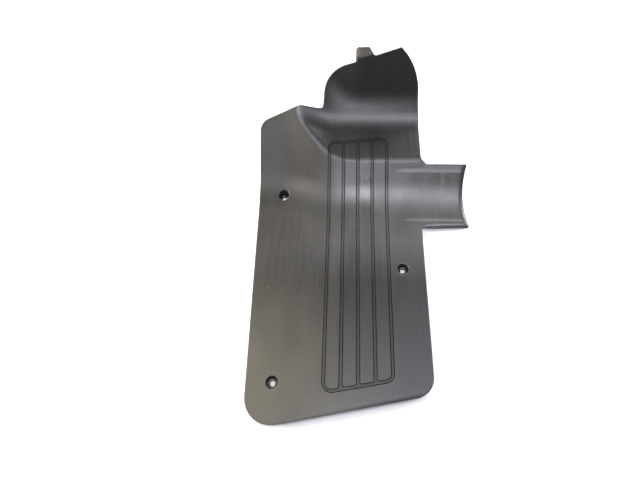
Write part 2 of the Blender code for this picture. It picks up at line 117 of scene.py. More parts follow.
# Flange
FLANGE_APEX = (53.5 * MM, 213.3 * MM)
FLANGE_TOP_SLOPE = 0.30
FLANGE_CORNER_RADIUS = 1.5 * MM
FLANGE_RIGHT_X = 78.8 * MM
FLANGE_RIGHT_S = 187.0 * MM   # where the right side turns in towards the apex
FLANGE_RIGHT_RADIUS = 84.0 * MM
FLANGE_NARROWS = 25.0 * MM    # the right side starts to lean in this far past the cove's start
FLANGE_LEFT_X = -47.0 * MM
FLANGE_LEFT_RADIUS = 44.0 * MM
FLANGE_LEFT_LEAN = 1.5 * MM   # the left side leans by this much at its foot and at its top
FLANGE_FOOT_S = 132.5 * MM
FLANGE_FOOT_HEIGHT = 16.0 * MM
FLANGE_FOOT_RADIUS = 5.0 * MM

# Top of the shoulder
SHOULDER_PEAK = (-78.0 * MM, 130.2 * MM)
SHOULDER_PEAK_RADIUS = 2.0 * MM
SHOULDER_TURN = (-104.6 * MM, 120.0 * MM)
SHOULDER_TURN_RADIUS = 60.0 * MM
SHOULDER_LEFT = (-133.2 * MM, 108.5 * MM)
SHOULDER_LEFT_RADIUS = 17.0 * MM

# Tongue
TONGUE_LEFT_X = -5.0 * MM
TONGUE_RIGHT_X = 13.5 * MM
TONGUE_TOP_S = 215.0 * MM
TONGUE_LEFT_RADIUS = 4.0 * MM
TONGUE_RIGHT_RADIUS = 3.0 * MM
TONGUE_ROOT_RADIUS = 2.5 * MM
TONGUE_FLARE = 6.5 * MM       # the right side spreads by this much at its root
TONGUE_BEND_LENGTH = 6.0 * MM
TONGUE_BEND_ANGLE = math.radians(-38.0)

# Tread
TREAD_LEFT_X = -40.0 * MM
TREAD_BOTTOM_S = -242.1 * MM  # at the left edge of the tread
TREAD_BOTTOM_SLOPE = 0.195
TREAD_TOP_S = 85.0 * MM       # at the left edge of the tread
TREAD_TOP_SLOPE = 0.097
TREAD_CORNER_RADIUS = 11.0 * MM
STRIP_COUNT = 4
STRIP_WIDTH = 15.2 * MM
BAR_WIDTH = 3.8 * MM
TREAD_DEPTH = 1.6 * MM
STRIP_GAP = 0.5 * MM          # dark line left round each strip in its pocket
FRAME_GROOVE_WIDTH = 0.6 * MM
FRAME_GROOVE_DEPTH = 0.9 * MM
STRIP_CORNER_RADIUS = 2.5 * MM
OUTER_STRIP_RADIUS = 6.5 * MM  # the corners that lie inside the frame's own corners
TREAD_WIDTH = STRIP_COUNT * STRIP_WIDTH + (STRIP_COUNT + 1) * BAR_WIDTH

# Screw cups and their bosses
CUP_PLACES = {
    "upper_left": Vector((-98.7, 12.3)) * MM,
    "right": Vector((54.9, -93.1)) * MM,
    "lower_left": Vector((-94.0, -230.7)) * MM,
}
CUP_DIAMETER = 14.0 * MM
CUP_DEPTH = 8.0 * MM
BOSS_DIAMETER = 22.0 * MM
BOSS_HEIGHT = 10.5 * MM
FERRULE_BORE = 6.6 * MM
FERRULE_SLEEVE = 9.0 * MM
FERRULE_HEAD = 13.0 * MM
FERRULE_HEAD_HEIGHT = 1.4 * MM

# Fine rounding that the CAD part leaves out
RIM_ROUND = 1.0 * MM
RIM_HOLD = 0.4 * MM           # a ring this far in keeps the flat beside a rim flat
LINE_HOLD = 0.3 * MM
STRIP_ROUND = 0.3 * MM
LINE_ROUND = 0.2 * MM         # mouths of the fine groove and of the strips' pockets
MOUTH_ROUND = 0.7 * MM
ROOT_ROUND = 1.2 * MM
CUP_DRAFT = 0.3 * MM
CUP_FLOOR_ROUND = 0.6 * MM
CHAMFER = 0.3 * MM
ROUND_STEPS = 4
ROUND_SEGMENTS = 72

# Values of the attribute that marks wear and painted light: above 0 the plastic is pale, from rubbing and
# from painted highlights; below 0 it is dark and dull, as painted shade
RIM_RUB_AND_HIGHLIGHT = 1.0                  # the flange's rim, which hands rub pale, and which is also a painted highlight along its rounded edge
RIM_RUB_AND_HIGHLIGHT_SHARE = 0.15       # how pale the other rims are, from rubbing and painted highlight, against the flange's
GROOVE_SHADE = -1.0                # painted shade: fine grooves and the gaps round the strips are made black and dull
# half the painted shade, on the strips' rounded edges and sides
STRIP_RIM_SHADE = GROOVE_SHADE / 2.0
BARS_DULLED_AND_SHADED = -0.28           # the bars between the strips, which shoes don't polish: duller, and darkened a little as painted shade
CUP_MOUTH_RUBBED = 0.15
# the crease's painted highlight: its ridge is painted pale
CREASE_HIGHLIGHT = 0.40
CREASE_HIGHLIGHT_HEIGHT = 2.2 * MM     # the painted highlight ends where the crease's two surfaces are this far apart

# Unevenness of the moulded sheet
SINK_DEPTH = 0.40 * MM
SINK_RADIUS = 17.0 * MM
WAVE_HEIGHT = 0.10 * MM
WAVE_LENGTH = 55.0 * MM
RIDGE_HEIGHT = 0.40 * MM      # soft ridges that run along the pattern on the wing
RIDGE_SPACING = 5.0 * MM
WAVE_LAYER = 0.0              # layers of the noise that have nothing to do with each other
RIDGE_LAYER = 1.0

# Mesh
OUTLINE_SPACING = 1.6 * MM
GRID_SPACING = 2.4 * MM
HIDDEN_SPACING = 4.0 * MM
CREASE_SPACING = 1.2 * MM
BAND_SPACING = 0.9 * MM
CREASE_X = (-85.0 * MM, -20.0 * MM)         # the crease lies between these
CREASE_TOP_S = 130.0 * MM
GRID_GAP = 1.1 * MM           # grid points stay this far from the rings
MERGE_DISTANCE = 1e-9         # points closer than this count as one when triangles are made
SMOOTH_ANGLE = math.radians(50.0)

# Plastic
PANEL_LEVEL = 0.014           # base colour of the clean plastic
PANEL_ROUGHNESS = 0.34
STRIP_LEVEL = 0.013
STRIP_ROUGHNESS = 0.33
STREAK_CONTRAST = 0.15        # how much the drag streaks change the colour
STREAK_ROUGHNESS = 0.015      # and the roughness
PANEL_POLISH = 0.04           # how much smoother shoes have rubbed the plastic around the foot bend
STRIP_POLISH = (0.04, 0.08, 0.10, 0.01)     # the same for each strip
POLISH_CENTRE = -8.0 * MM     # the polish is full within one distance of this line
POLISH_FULL = 22.0 * MM       # and ends at a greater one
POLISH_END = 65.0 * MM
PANEL_DUSTINESS = 1.0
STRIP_DUSTINESS = 0.7
DUST_COLOUR = (0.056, 0.053, 0.041, 1.0)
DUST_ALONG = (-80.0 * MM, -210.0 * MM)      # no dust before the first, full dust past the second
DUST_ACROSS = (50.0 * MM, -90.0 * MM)
SHINE_LEVEL = 0.5             # specular level of the clean plastic
DUSTY_SHINE_LEVEL = 0.34      # the same at the dusty foot of the panel
HAZE_AND_SHEEN_LEVEL = 0.080            # fine scuffs of shoes, which look grey, and also a painted sheen of light over the foot bend
HAZE_CENTRE = -22.0 * MM
HAZE_FULL = 35.0 * MM
HAZE_END = 90.0 * MM
HAZE_ACROSS = (-105.0 * MM, -25.0 * MM)     # little haze left of the first, full haze past the second
HAZE_LEFT_SHARE = 0.2         # the little haze on the left, against the full one
# pale of rubbed rims and cup mouths, and of the painted highlights on the crease and the flange's rim
RUB_AND_HIGHLIGHT_LEVEL = 0.20
RUB_AND_HIGHLIGHT_COVER = 0.7            # the most of the colour that rubbing and painted highlight hide
# colour of the painted shade in the grooves and round the strips
GROOVE_SHADE_LEVEL = 0.002
SCRATCH_LEVEL = 0.06
SCRATCH_COVER = 0.5
SCRATCH_FINENESS = 0.02       # a scratch ends where its noise is this far from 0
GRAIN_HEIGHT = 0.02 * MM
GRAIN_STRENGTH = 0.6

# Patches of noise: size across and along, detail, lowest and highest value
NOISE_RANGE = (0.3, 0.7)      # the noise that becomes the lowest value and the highest
STREAKS = (3.5 * MM, 70.0 * MM, 3.0, 0.0, 1.0)
POLISH_MOTTLING = (2.0 * MM, 25.0 * MM, 3.0, 0.92, 1.05)
DUST_PATCHES = (45.0 * MM, 80.0 * MM, 3.0, 0.75, 1.1)
HAZE_PATCHES = (30.0 * MM, 60.0 * MM, 3.0, 0.35, 0.6)
RUB_AND_HIGHLIGHT_PATCHES = (6.0 * MM, 9.0 * MM, 2.0, 0.5, 1.0)
ROUGHNESS_PATCHES = (24.0 * MM, 60.0 * MM, 3.0, -0.02, 0.02)
SCRATCH_LINES = (7.0 * MM, 120.0 * MM, 0.0, -1.0, 1.0)      # a scratch runs where this crosses 0
SCRATCH_BREAKS = (9.0 * MM, 14.0 * MM, 2.0, -1.0, 1.0)      # and shows where this is above 0
FINE_GRAIN = (0.5 * MM, 0.6 * MM, 2.0, 0.0, 1.0)
DRAG_LINES = (1.4 * MM, 50.0 * MM, 2.0, 0.0, 1.0)
STEEL_PATCHES = (1.2 * MM, 1.2 * MM, 3.0, 0.0, 1.0)

# Plated steel
STEEL_DARK_LEVEL = 0.035
STEEL_PALE_LEVEL = 0.07
STEEL_WARMTH = 0.03
STEEL_ROUGHNESS = (0.28, 0.45)
TURNING_PITCH = 0.693 * MM    # distance between the fine rings that turning leaves
TURNING_WAVER = 0.4
TURNING_HEIGHT = 0.02 * MM
TURNING_STRENGTH = 0.3
WAVE_TURN = 20.0              # radians of a wave texture for each unit of length at scale 1

# Camera
CAMERA_PLACE = Vector((-18.1, -266.7, 503.7)) * MM
CAMERA_TARGET = Vector((-53.3, 0.3, 0.0)) * MM
CAMERA_ROLL = math.radians(-6.07)
CAMERA_LENS = 24.75           # in millimetres, as the camera's settings are
CAMERA_SENSOR = 36.0
CAMERA_NEAR = 10.0 * MM

# Studio: light from a bright room behind and to the left, and dark on the camera's side
FLOOR_SIDE = 6.0
FLOOR_LEVEL = 0.8
FLOOR_ROUGHNESS = 0.7
WORLD_STRENGTH = 0.04
LIGHT_DISTANCE = 1.6
WARM = (1.0, 0.92, 0.78)
COOL = (0.88, 0.89, 1.0)
LIGHTS = (                    # name, direction, size across and up, power in watts, colour
    ("back_left", (-0.30, 0.80, 0.52), (0.60, 0.40), 22.0, WARM),
    ("back_right", (0.34, 0.78, 0.52), (0.50, 0.40), 15.0, COOL),
    ("back_low", (0.15, 0.97, 0.18), (1.40, 0.50), 70.0, COOL),
    ("left_window", (-0.62, 0.46, 0.63), (0.50, 0.50), 15.0, WARM),
    ("left_low", (-0.94, 0.0, 0.34), (0.70, 0.50), 42.0, WARM),
    ("overhead_right", (0.26, 0.10, 0.95), (0.35, 0.30), 1.5, COOL),
    ("overhead_front", (0.05, -0.07, 0.99), (0.45, 0.32), 8.3, COOL),
    ("wing_side", (0.38, -0.02, 0.92), (0.25, 0.30), 5.0, COOL),
    ("front_right", (0.06, -0.66, 0.75), (0.35, 0.30), 1.3, COOL),
    ("overhead_left", (-0.48, 0.0, 0.88), (0.30, 0.50), 6.0, WARM),
    ("front_high", (-0.06, -0.44, 0.89), (0.35, 0.30), 6.5, COOL),
    ("right_low", (0.82, 0.45, 0.34), (0.60, 0.50), 16.0, COOL),
)


# ---------------------------------------------------------------- small helpers

def clamp(value, low, high):
    return max(low, min(high, value))


def smooth_step(value, start, end):
    """0 before start, 1 past end, and a smooth climb between them. The end may be the lower value."""
    t = clamp((value - start) / (end - start), 0.0, 1.0)
    return t * t * (3.0 - 2.0 * t)


def smooth_min(a, b, blend):
    """The lower of two values, rounded where they cross."""
    if blend <= 0.0:
        return min(a, b)
    overlap = max(blend - abs(a - b), 0.0) / blend
    return min(a, b) - overlap * overlap * blend / 4.0


def quarter_turn():
    """Angles of a rounded edge, from flat to upright."""
    return [math.pi / 2.0 * step / ROUND_STEPS for step in range(ROUND_STEPS + 1)]


# ---------------------------------------------------------------- the bent sheet

def bent_profile(s, bends):
    """Distance along y and height z at pattern distance s, for flat runs joined by round bends."""
    at = min(s, bends[0][0])
    y = at
    z = 0.0
    angle = 0.0
    for start, length, turn in bends:
        straight = max(0.0, min(s, start) - at)
        y += straight * math.cos(angle)
        z += straight * math.sin(angle)
        at += straight
        bent = clamp(s - start, 0.0, length)
        radius = length / turn
        turned = angle + bent / radius
        y += radius * (math.sin(turned) - math.sin(angle))
        z += radius * (math.cos(angle) - math.cos(turned))
        angle = turned
        at += bent
    rest = max(0.0, s - at)
    return y + rest * math.cos(angle), z + rest * math.sin(angle)


def bends_at(x, s):
    """The bends met along the pattern at x. The cove opens out to the left, and the tongue bends back."""
    start, length, turn = UPPER_COVE_BEND
    opening = COVE_OPENING * smooth_step(x, COVE_OPENS_FROM, COVE_OPENS_TO)
    flange_start, flange_length, flange_turn = FLANGE_BEND
    bends = (
        FOOT_BEND, CREST_BEND, COVE_BEND,
        (start, length + opening, turn),
        (flange_start + opening, flange_length, flange_turn),
    )
    if TONGUE_LEFT_X - TONGUE_FLARE < x < TONGUE_RIGHT_X + TONGUE_FLARE and s > flange_top_s(x):
        settled = tuple(bend for bend in bends if bend[0] + bend[1] <= flange_top_s(x))
        bends = settled + ((flange_top_s(x), TONGUE_BEND_LENGTH, TONGUE_BEND_ANGLE),)
    return bends


def shoulder_height(x, y):
    """Height of the shoulder: the foot bend, then its slope carried straight on."""
    start, length, turn = FOOT_BEND
    delay = SHOULDER_DELAY * smooth_step(x, SHOULDER_DELAY_FROM, SHOULDER_DELAY_TO)
    radius = length / turn
    run = y - delay - start
    bent = clamp(run, 0.0, radius * math.sin(turn))
    height = radius - math.sqrt(radius * radius - bent * bent)
    height += max(0.0, run - bent) * math.tan(turn)
    return height + max(0.0, y - SHOULDER_END_Y) * SHOULDER_END_RISE


def scoop_side_height(x):
    """How far the scoop's floor climbs towards the shoulder."""
    reach = (SCOOP_SIDE_KNEE - x) / SCOOP_SIDE_SOFTNESS
    return SCOOP_SIDE_SLOPE * SCOOP_SIDE_SOFTNESS * math.log(1.0 + math.exp(reach))


def flange_top_s(x):
    """The straight top edge of the flange, which is also the line the tongue bends along."""
    return FLANGE_APEX[1] + (x - FLANGE_APEX[0]) * FLANGE_TOP_SLOPE


def left_edge_x(s):
    return LEFT_X - s * LEFT_TAPER


def bottom_edge_s(x):
    return BOTTOM_LEFT_S + (x - left_edge_x(BOTTOM_LEFT_S)) * BOTTOM_SLOPE


def wing_end_x(s):
    """The hollow end of the wing, an arc in the pattern."""
    middle = (WING_LOWER_S + WING_UPPER_S) / 2.0
    half = (WING_UPPER_S - WING_LOWER_S) / 2.0
    reach = clamp((s - middle) / half, -1.0, 1.0)
    return WING_END_X - WING_END_HOLLOW * (1.0 - reach * reach)


def lip(distance, width, drop):
    """Drop of a rolled edge at a distance in from the edge."""
    inside = clamp(1.0 - distance / width, 0.0, 1.0)
    return drop * inside * inside


def relief(x, s):
    """Small height changes of the sheet: the raised band, the wing's droop and the rolled edges."""
    on_band = smooth_step(s, WING_LOWER_S + BAND_INSET, WING_LOWER_S + BAND_INSET + BAND_EDGE)
    on_band *= smooth_step(s, WING_UPPER_S - BAND_INSET, WING_UPPER_S - BAND_INSET - BAND_EDGE)
    height = BAND_LIFT * on_band * smooth_step(x, BAND_START_X, BAND_START_X + BAND_FADE)
    height -= lip(s - bottom_edge_s(x), EDGE_ROLL_WIDTH, EDGE_ROLL_DROP)
    if x > RIGHT_X and s < WING_UPPER_S + WING_LIP_WIDTH:
        out = (x - RIGHT_X) / (WING_END_X - RIGHT_X)
        side = min(s - WING_LOWER_S - WING_LOWER_RISE * out, WING_UPPER_S - s)
        edge = smooth_min(side, wing_end_x(s) - x, WING_LIP_BLEND)
        height -= WING_DROOP * out * out
        grown = smooth_step(x, RIGHT_X, RIGHT_X + WING_LIP_FADE)
        height -= lip(edge, WING_LIP_WIDTH, WING_LIP_DROP) * grown
    return height


def unevenness(x, s):
    """Slow waves left by the moulding, soft ridges on the wing, and sinks over the bosses."""
    waves = noise.noise(Vector((x / WAVE_LENGTH, s / WAVE_LENGTH, WAVE_LAYER)))
    ridges = noise.noise(Vector((x / RIDGE_SPACING, s / WAVE_LENGTH, RIDGE_LAYER)))
    height = WAVE_HEIGHT * waves
    height += RIDGE_HEIGHT * smooth_step(x, BAND_START_X, WING_END_X) * ridges
    for place in CUP_PLACES.values():
        away = (Vector((x, s)) - place).length / SINK_RADIUS
        height -= SINK_DEPTH * math.exp(-away * away)
    return height


def sheet_point(x, s):
    """The top face of the formed sheet at pattern point x, s."""
    y, z = bent_profile(s, bends_at(x, s))
    blend = CREASE_BLEND * smooth_step(x, CREASE_BLEND_FROM, CREASE_BLEND_TO)
    z = smooth_min(shoulder_height(x, y), z + scoop_side_height(x), blend)
    return Vector((x, y, z + relief(x, s) + unevenness(x, s)))


def rim_wear_and_highlight(s, wear_and_painted_light):
    """How a rim is marked at s. The pale of rubbing and painted highlight is strongest on the flange, and
    the painted shade is the same everywhere.
    """
    if wear_and_painted_light <= 0.0:
        return wear_and_painted_light
    share = smooth_step(s, FLANGE_FOOT_S, UPPER_COVE_BEND[0] + UPPER_COVE_BEND[1])
    return wear_and_painted_light * (RIM_RUB_AND_HIGHLIGHT_SHARE + (1.0 - RIM_RUB_AND_HIGHLIGHT_SHARE) * share)


def crease_highlight(x, s):
    """How strongly the crease between the shoulder and the scoop is painted pale, as a highlight along its
    ridge.
    """
    y, z = bent_profile(s, bends_at(x, s))
    apart = abs(shoulder_height(x, y) - z - scoop_side_height(x))
    fade = smooth_step(x, CREASE_BLEND_FROM, CREASE_BLEND_TO)
    return CREASE_HIGHLIGHT * fade * max(0.0, 1.0 - apart / CREASE_HIGHLIGHT_HEIGHT)


def formed(x, s, depth):
    """Carries a point of the flat blank onto the formed sheet."""
    across = sheet_point(x + FORMING_STEP, s) - sheet_point(x - FORMING_STEP, s)
    along = sheet_point(x, s + FORMING_STEP) - sheet_point(x, s - FORMING_STEP)
    return sheet_point(x, s) + across.cross(along).normalized() * depth


def pattern_s(x, y):
    """The pattern distance whose point on the sheet lies at y."""
    s = y
    for _ in range(PLACE_STEPS):
        s += y - sheet_point(x, s).y
    return s


# ---------------------------------------------------------------- outlines

def rounded_outline(corners):
    """A closed outline from corners (x, s, radius), each rounded by an arc of its own radius."""
    points = []
    for index, (x, s, radius) in enumerate(corners):
        corner = Vector((x, s))
        if radius == 0.0:
            points.append(corner)
            continue
        before = (Vector(corners[index - 1][:2]) - corner).normalized()
        after = (Vector(corners[(index + 1) % len(corners)][:2]) - corner).normalized()
        half = math.acos(clamp(before.dot(after), -1.0, 1.0)) / 2.0
        centre = corner + (before + after).normalized() * (radius / math.sin(half))
        start = corner + before * (radius / math.tan(half)) - centre
        sweep = (math.pi - 2.0 * half) * (1.0 if before.cross(after) < 0.0 else -1.0)
        count = max(ROUND_STEPS, math.ceil(abs(sweep) * radius / OUTLINE_SPACING))
        for step in range(count + 1):
            points.append(centre + Matrix.Rotation(sweep * step / count, 2) @ start)
    return evenly_divided(points)


def evenly_divided(outline):
    """The outline with its long sides divided."""
    points = []
    for index, start in enumerate(outline):
        end = outline[(index + 1) % len(outline)]
        count = max(1, math.ceil((end - start).length / OUTLINE_SPACING))
        points += [start.lerp(end, step / count) for step in range(count)]
    return points


def inset(outline, distance):
    """An anticlockwise outline moved inwards by a distance."""
    moved = []
    for index, point in enumerate(outline):
        before = (point - outline[index - 1]).normalized()
        after = (outline[(index + 1) % len(outline)] - point).normalized()
        inward = Vector((-before.y - after.y, before.x + after.x)).normalized()
        stretch = inward.dot(Vector((-before.y, before.x)))
        moved.append(point + inward * (distance / stretch))
    return moved


def panel_outline():
    """The blank's outer edge, anticlockwise from the bottom left corner.

    The hollow end's points beside its corners are left out, where the corners' arcs lie.
    """
    corners = [
        (left_edge_x(BOTTOM_LEFT_S), BOTTOM_LEFT_S, BOTTOM_LEFT_RADIUS),
        (RIGHT_X, bottom_edge_s(RIGHT_X), BOTTOM_RIGHT_RADIUS),
        (RIGHT_X, WING_LOWER_S, WING_CORNER_RADIUS),
        (WING_END_X, WING_LOWER_S + WING_LOWER_RISE, WING_CORNER_RADIUS),
    ]
    for step in range(2, WING_END_STEPS - 1):
        s = WING_LOWER_S + (WING_UPPER_S - WING_LOWER_S) * step / WING_END_STEPS
        corners.append((wing_end_x(s), s, 0.0))
    tongue_root_x = TONGUE_RIGHT_X + TONGUE_FLARE
    corners += [
        (WING_END_X, WING_UPPER_S, WING_CORNER_RADIUS),
        (RIGHT_X + WING_ROOT_SHIFT[0], WING_UPPER_S + WING_ROOT_SHIFT[1], WING_ROOT_RADIUS),
        (RIGHT_X, COVE_BEND[0] + FLANGE_NARROWS, 0.0),
        (FLANGE_RIGHT_X, FLANGE_RIGHT_S, FLANGE_RIGHT_RADIUS),
        (FLANGE_APEX[0], FLANGE_APEX[1], FLANGE_CORNER_RADIUS),
        (tongue_root_x, flange_top_s(tongue_root_x), TONGUE_ROOT_RADIUS),
        (TONGUE_RIGHT_X, TONGUE_TOP_S, TONGUE_RIGHT_RADIUS),
        (TONGUE_LEFT_X, TONGUE_TOP_S, TONGUE_LEFT_RADIUS),
        (TONGUE_LEFT_X, flange_top_s(TONGUE_LEFT_X), FLANGE_CORNER_RADIUS),
        (FLANGE_LEFT_X + FLANGE_LEFT_LEAN, flange_top_s(FLANGE_LEFT_X), FLANGE_LEFT_RADIUS),
        (FLANGE_LEFT_X, FLANGE_FOOT_S + FLANGE_FOOT_HEIGHT, 0.0),
        (FLANGE_LEFT_X - FLANGE_LEFT_LEAN, FLANGE_FOOT_S, FLANGE_FOOT_RADIUS),
        (SHOULDER_PEAK[0], SHOULDER_PEAK[1], SHOULDER_PEAK_RADIUS),
        (SHOULDER_TURN[0], SHOULDER_TURN[1], SHOULDER_TURN_RADIUS),
        (SHOULDER_LEFT[0], SHOULDER_LEFT[1], SHOULDER_LEFT_RADIUS),
        (LEFT_X, 0.0, 0.0),
    ]
    return rounded_outline(corners)


def strip_left(number):
    return TREAD_LEFT_X + BAR_WIDTH + number * (STRIP_WIDTH + BAR_WIDTH)


def strip_radii(number, margin):
    """Corner radii of a strip's outline, grown by a margin, from the bottom left round."""
    left = OUTER_STRIP_RADIUS if number == 0 else STRIP_CORNER_RADIUS
    right = OUTER_STRIP_RADIUS if number == STRIP_COUNT - 1 else STRIP_CORNER_RADIUS
    return [radius + margin for radius in (left, right, right, left)]


def tread_outline(left, right, margin, radii):
    """A rounded four-sided outline inside the tread, between two x values."""
    def bottom(x):
        return TREAD_BOTTOM_S + (x - TREAD_LEFT_X) * TREAD_BOTTOM_SLOPE + margin

    def top(x):
        return TREAD_TOP_S + (x - TREAD_LEFT_X) * TREAD_TOP_SLOPE - margin

    return rounded_outline([
        (left, bottom(left), radii[0]),
        (right, bottom(right), radii[1]),
        (right, top(right), radii[2]),
        (left, top(left), radii[3]),
    ])


# ---------------------------------------------------------------- skins

def inside(points, outline):
    """Which of an array of points lie inside a closed outline."""
    found = np.zeros(len(points), bool)
    x, y = points[:, 0], points[:, 1]
    for index, (bx, by) in enumerate(outline):
        ax, ay = outline[index - 1]
        if ay != by:
            crosses = (y < ay) != (y < by)
            found ^= crosses & (x < ax + (y - ay) * (bx - ax) / (by - ay))
    return found


def between(points, outlines):
    """Which points lie inside the first outline and outside the others."""
    wanted = inside(points, outlines[0])
    for outline in outlines[1:]:
        wanted &= ~inside(points, outline)
    return wanted


def grid_lines(start, end, spacing, zones):
    """Lines a spacing apart, and closer inside the zones (from, to, spacing)."""
    lines = []
    at = start
    while at < end:
        lines.append(at)
        step = min([spacing] + [fine for low, high, fine in zones if low <= at < high])
        at = min([at + step] + [low for low, _, _ in zones if at < low < at + step])
    return lines


X_ZONES = (
    CREASE_X + (CREASE_SPACING,),
)
S_ZONES = (
    (WING_LOWER_S + BAND_INSET, WING_LOWER_S + BAND_INSET + BAND_EDGE, BAND_SPACING),
    (WING_UPPER_S - BAND_INSET - BAND_EDGE, WING_UPPER_S - BAND_INSET, BAND_SPACING),
    (CREST_BEND[0], CREASE_TOP_S, CREASE_SPACING),
)


def grid_places(outlines, spacing):
    """Grid points inside the first outline and outside the others, and clear of them all."""
    corners = np.array(outlines[0])
    low, high = corners.min(0), corners.max(0)
    lines_x = grid_lines(low[0], high[0], spacing, X_ZONES)
    lines_s = grid_lines(low[1], high[1], spacing, S_ZONES)
    grid = np.array([(x, s) for x in lines_x for s in lines_s])
    near = kdtree.KDTree(sum(len(outline) for outline in outlines))
    for number, (x, s) in enumerate(point for outline in outlines for point in outline):
        near.insert((x, s, 0.0), number)
    near.balance()
    return [(x, s) for x, s in grid[between(grid, outlines)] if near.find((x, s, 0.0))[2] > GRID_GAP]


def ring_sides(rings):
    """The sides of closed rings, as pairs of points numbered from one ring on to the next."""
    sides = []
    start = 0
    for ring in rings:
        sides += [(start + step, start + (step + 1) % len(ring)) for step in range(len(ring))]
        start += len(ring)
    return sides


class Skin:
    """A mesh being made: points in the frame, their places in the pattern, their marks of wear and painted
    light, and faces.
    """

    def __init__(self, offset):
        self.offset = offset
        self.points = []
        self.pattern = []
        self.wear_and_painted_light = []
        self.faces = []

    def add(self, point, place, wear_and_painted_light):
        self.points.append(point + self.offset)
        self.pattern.append((place[0], place[1]))
        self.wear_and_painted_light.append(wear_and_painted_light)
        return len(self.points) - 1

    def bridge(self, rings):
        """Joins each ring to the next with a band of faces."""
        for first, second in zip(rings, rings[1:]):
            for index, corner in enumerate(first):
                after = (index + 1) % len(first)
                self.faces.append((corner, first[after], second[after], second[index]))

    def edge(self, outline, profile):
        """Rings round an outline at each (inset, depth, mark of wear and painted light) of a profile,
        joined up.
        """
        rings = []
        for distance, depth, wear_and_painted_light in profile:
            ring = []
            for x, s in inset(outline, distance):
                ring.append(self.add(formed(x, s, depth), (x, s), rim_wear_and_highlight(s, wear_and_painted_light)))
            rings.append(ring)
        self.bridge(rings)
        return rings[0], rings[-1]

    def ring(self, place, radius, height_at, wear_and_painted_light=0.0):
        """A ring that is round from above; height_at turns the sheet's height there into its own."""
        ring = []
        for segment in range(ROUND_SEGMENTS):
            turn = 2.0 * math.pi * segment / ROUND_SEGMENTS
            x = place.x + radius * math.cos(turn)
            y = place.y + radius * math.sin(turn)
            s = pattern_s(x, y)
            height = height_at(sheet_point(x, s).z)
            ring.append(self.add(Vector((x, y, height)), (x, s), wear_and_painted_light))
        return ring

    def fill(self, rings, depth, spacing, around=0.0):
        """Triangles inside the first ring and outside the others, over a grid marked as around; the top
        face also gets the crease's painted highlight.
        """
        outlines = [[self.pattern[index] for index in ring] for ring in rings]
        used = [index for ring in rings for index in ring]
        for x, s in grid_places(outlines, spacing):
            # the top face takes the crease's painted highlight
            wear_and_painted_light = around + (crease_highlight(x, s) if depth == 0.0 else 0.0)
            used.append(self.add(formed(x, s, depth), (x, s), wear_and_painted_light))
        flat = [Vector(self.pattern[index]) for index in used]
        made = geometry.delaunay_2d_cdt(flat, ring_sides(rings), [], 0, MERGE_DISTANCE)
        triangles = np.array(made[2])
        centres = np.array(made[0])[triangles].mean(1)
        source = [used[originals[0]] for originals in made[3]]
        for triangle in triangles[between(centres, outlines)]:
            self.faces.append([source[corner] for corner in triangle])

    def to_object(self, name, material):
        mesh = bpy.data.meshes.new(name)
        mesh.from_pydata(self.points, [], self.faces)
        mesh.materials.append(material)
        flow = mesh.attributes.new("pattern", "FLOAT_VECTOR", "POINT")
        flow.data.foreach_set("vector", [value for x, s in self.pattern for value in (x, s, 0.0)])
        mesh.attributes.new("wear_and_painted_light", "FLOAT", "POINT").data.foreach_set("value", self.wear_and_painted_light)
        turn_faces_out(mesh)
        mesh.shade_smooth()
        mesh.set_sharp_from_angle(angle=SMOOTH_ANGLE)
        item = bpy.data.objects.new(name, mesh)
        bpy.context.scene.collection.objects.link(item)
        return item


def turn_faces_out(mesh):
    form = bmesh.new()
    form.from_mesh(mesh)
    bmesh.ops.recalc_face_normals(form, faces=form.faces)
    form.to_mesh(mesh)
    form.free()


def rim_profile(thickness, radius, wear_and_painted_light):
    """(inset, depth, mark of wear and painted light) of each ring round a slab's edge, from its top face to
    its bottom one.
    """
    profile = [(radius + RIM_HOLD, 0.0, 0.0)]
    for turn in quarter_turn():
        profile.append((radius * (1.0 - math.sin(turn)), -radius * (1.0 - math.cos(turn)), wear_and_painted_light))
    for turn in reversed(quarter_turn()):
        rise = radius * (1.0 - math.cos(turn))
        profile.append((radius * (1.0 - math.sin(turn)), rise - thickness, wear_and_painted_light * math.sin(turn)))
    profile.append((radius + RIM_HOLD, -thickness, 0.0))
    return profile


def mouth_profile(around):
    """(inset, depth, mark) of the rings that round a mouth, going in from a surface marked as around to the
    painted shade inside.
    """
    profile = [(-LINE_ROUND - LINE_HOLD, 0.0, around)]
    for turn in quarter_turn():
        drop = LINE_ROUND * (1.0 - math.cos(turn))
        wear_and_painted_light = around + (GROOVE_SHADE - around) * math.sin(turn)
        profile.append((LINE_ROUND * (math.sin(turn) - 1.0), -drop, wear_and_painted_light))
    return profile


def pocket_profile():
    """The rings of a strip's pocket, from its mouth to its floor, which is painted dark as shade."""
    floor = [(0.0, -TREAD_DEPTH, GROOVE_SHADE), (RIM_HOLD, -TREAD_DEPTH, GROOVE_SHADE)]
    return mouth_profile(BARS_DULLED_AND_SHADED) + floor


def groove_profile():
    """The rings of the tread's framing groove, in over one mouth and out over the other, painted dark
    inside as shade.
    """
    floor = [(0.0, -FRAME_GROOVE_DEPTH, GROOVE_SHADE)]
    outward = reversed(mouth_profile(BARS_DULLED_AND_SHADED) + floor)
    outward = [(FRAME_GROOVE_WIDTH - distance, depth, wear_and_painted_light) for distance, depth, wear_and_painted_light in outward]
    return mouth_profile(0.0) + floor + outward


def below_sheet(drop):
    """A height rule for a ring: this far below the sheet's top face."""
    return lambda sheet: sheet - drop


def at_level(height):
    """A height rule for a ring: level, whatever the sheet does."""
    return lambda sheet: height


